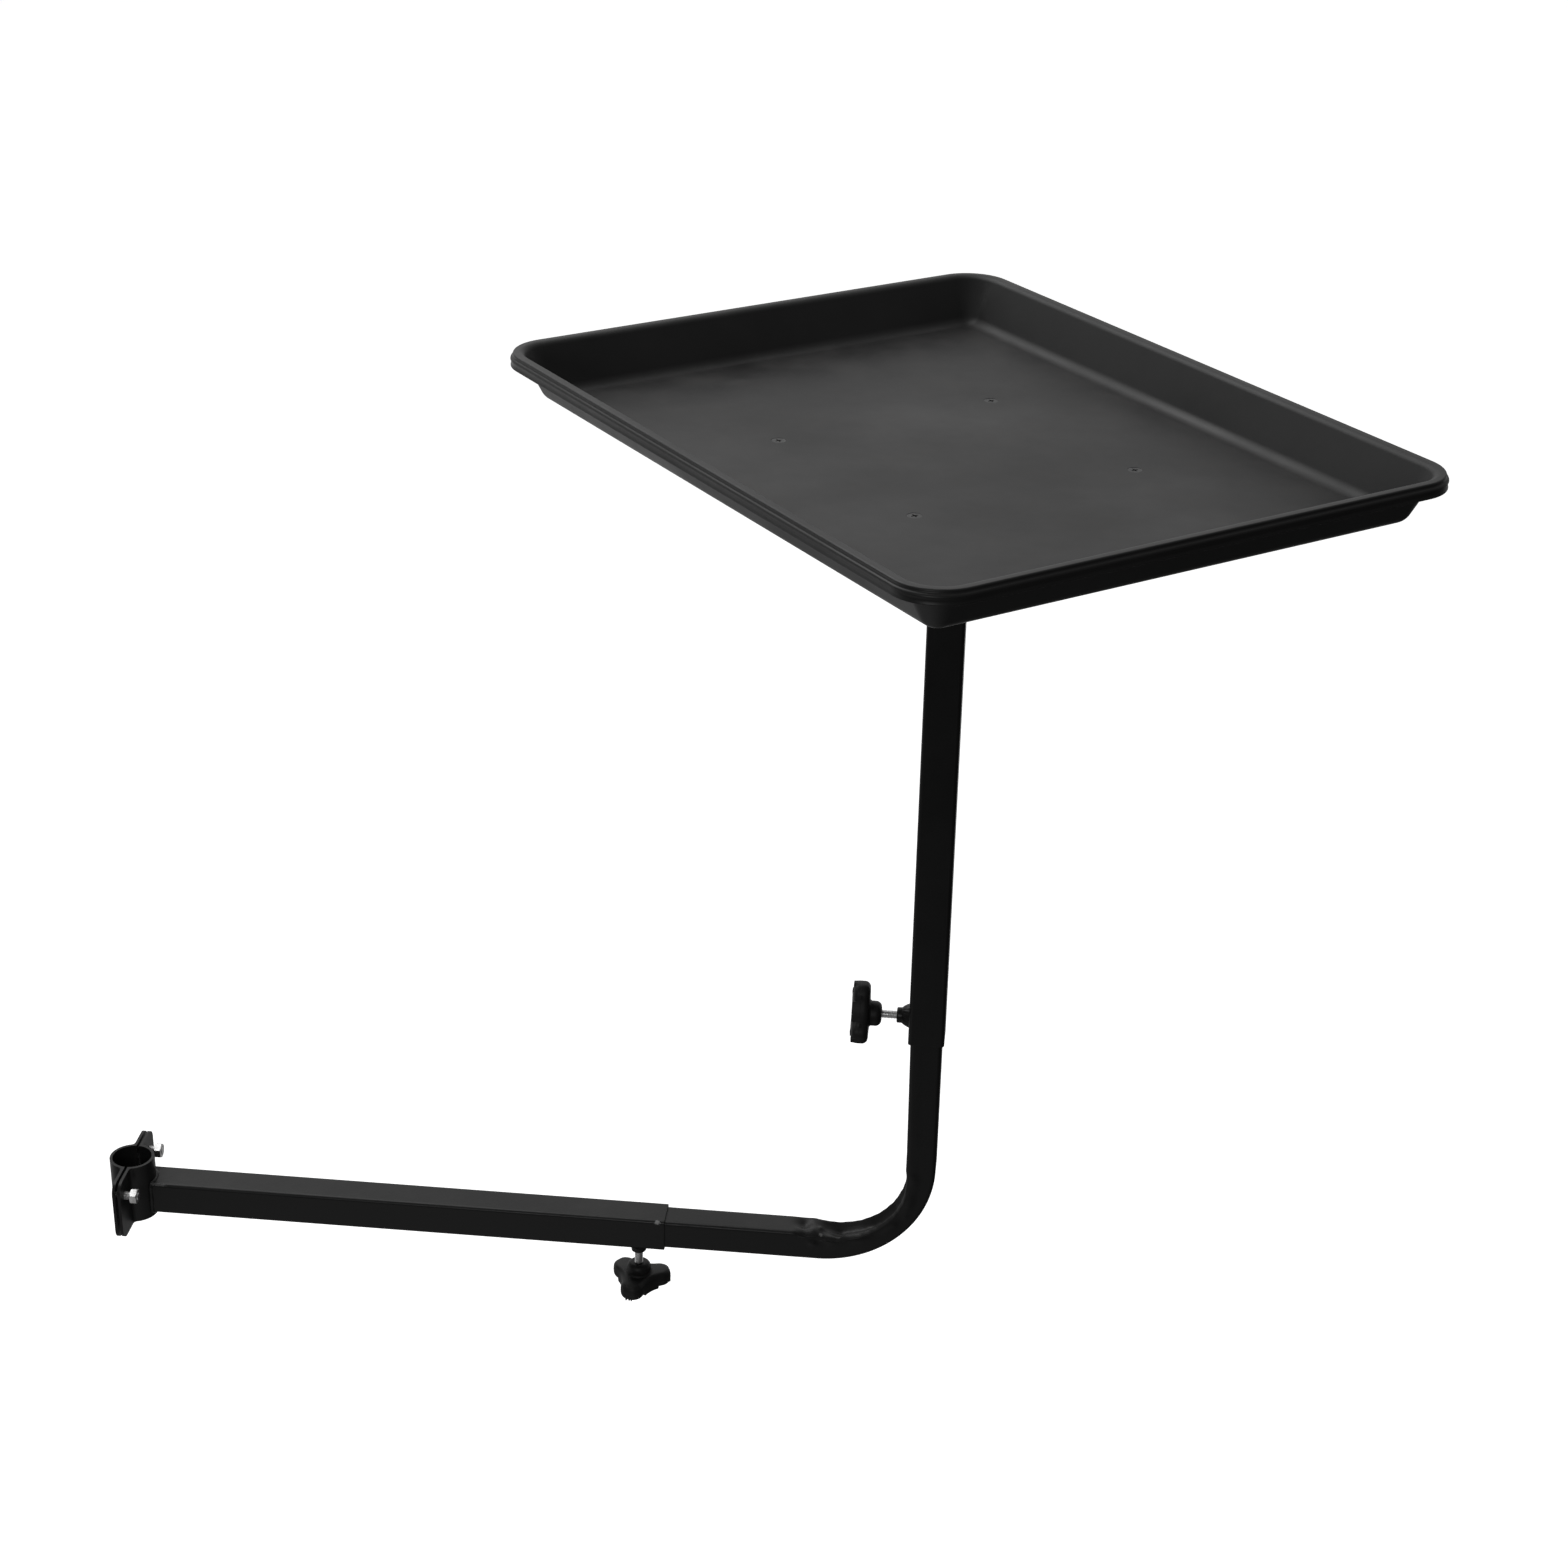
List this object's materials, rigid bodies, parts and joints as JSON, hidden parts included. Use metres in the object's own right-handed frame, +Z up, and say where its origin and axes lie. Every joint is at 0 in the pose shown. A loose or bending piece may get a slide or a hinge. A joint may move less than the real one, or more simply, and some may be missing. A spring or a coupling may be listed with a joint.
{
  "type": "barber chair tray",
  "caption": "Clamp-on tray for a barber chair: a round chair clamp, a telescoping L-shaped arm of square tube with knob screws, and a turning moulded tray.",
  "frame": {"origin": "on the axis of the chair clamp's bore, level with the axis of the square arm", "axes": "+X along the arm from the clamp to the post, +Z up along the clamp's bore and the post"},
  "size_m": [0.8823, 0.6084, 0.6807],
  "materials": {
    "black_powder_coat": "satin",
    "tray_plastic": "satin",
    "knob_plastic": "satin",
    "zinc_steel": "satin",
    "black_screw": "satin",
    "nylon_bush": "matte"
  },
  "bodies": {
    "arm": {"outer_arm_tube": "black_powder_coat", "fixed_jaw": "black_powder_coat", "arm_boss": "black_powder_coat"},
    "jaw": {"loose_jaw": "black_powder_coat", "clamp_bolt_near": "zinc_steel", "clamp_bolt_far": "zinc_steel"},
    "nut_near": {"clamp_nut_near": "zinc_steel"},
    "nut_far": {"clamp_nut_far": "zinc_steel"},
    "arm_knob": {"arm_knob_head": "knob_plastic", "arm_knob_stud": "zinc_steel"},
    "l_tube": {"inner_l_tube": "black_powder_coat"},
    "sleeve": {"sleeve_tube": "black_powder_coat", "sleeve_boss": "black_powder_coat", "swivel_bush": "nylon_bush"},
    "sleeve_knob": {"sleeve_knob_head": "knob_plastic", "sleeve_knob_stud": "zinc_steel"},
    "top": {"spindle": "zinc_steel", "spindle_ring": "zinc_steel", "tray_bracket": "black_powder_coat", "tray": "tray_plastic", "tray_screw_1": "black_screw", "tray_screw_2": "black_screw", "tray_screw_3": "black_screw", "tray_screw_4": "black_screw", "tray_washer_1": "zinc_steel", "tray_washer_2": "zinc_steel", "tray_washer_3": "zinc_steel", "tray_washer_4": "zinc_steel", "tray_nut_1": "zinc_steel", "tray_nut_2": "zinc_steel", "tray_nut_3": "zinc_steel", "tray_nut_4": "zinc_steel"}
  },
  "joints": [
    {"name": "jaw_open", "type": "slide", "parent": "arm", "child": "jaw", "axis": [-1, 0, 0], "range_m": [0, 0.004]},
    {"name": "nut_near_turn", "type": "hinge", "parent": "jaw", "child": "nut_near", "pos_m": [0.01, -0.03, 0.0165], "axis": [1, 0, 0], "continuous": true},
    {"name": "nut_far_turn", "type": "hinge", "parent": "jaw", "child": "nut_far", "pos_m": [0.01, 0.03, 0.0165], "axis": [1, 0, 0], "continuous": true},
    {"name": "arm_knob_turn", "type": "hinge", "parent": "arm", "child": "arm_knob", "pos_m": [0.371, 0.0045, -0.03], "axis": [0, 0, 1], "continuous": true},
    {"name": "arm_reach", "type": "slide", "parent": "arm", "child": "l_tube", "axis": [1, 0, 0], "range_m": [-0.1, 0.15]},
    {"name": "post_height", "type": "slide", "parent": "l_tube", "child": "sleeve", "axis": [0, 0, 1], "range_m": [-0.094, 0.19]},
    {"name": "sleeve_knob_turn", "type": "hinge", "parent": "sleeve", "child": "sleeve_knob", "pos_m": [0.54, 0.0045, 0.1898], "axis": [1, 0, 0], "continuous": true},
    {"name": "tray_turn", "type": "hinge", "parent": "sleeve", "child": "top", "pos_m": [0.572, 0.0045, 0.595], "axis": [0, 0, 1], "continuous": true}
  ]
}
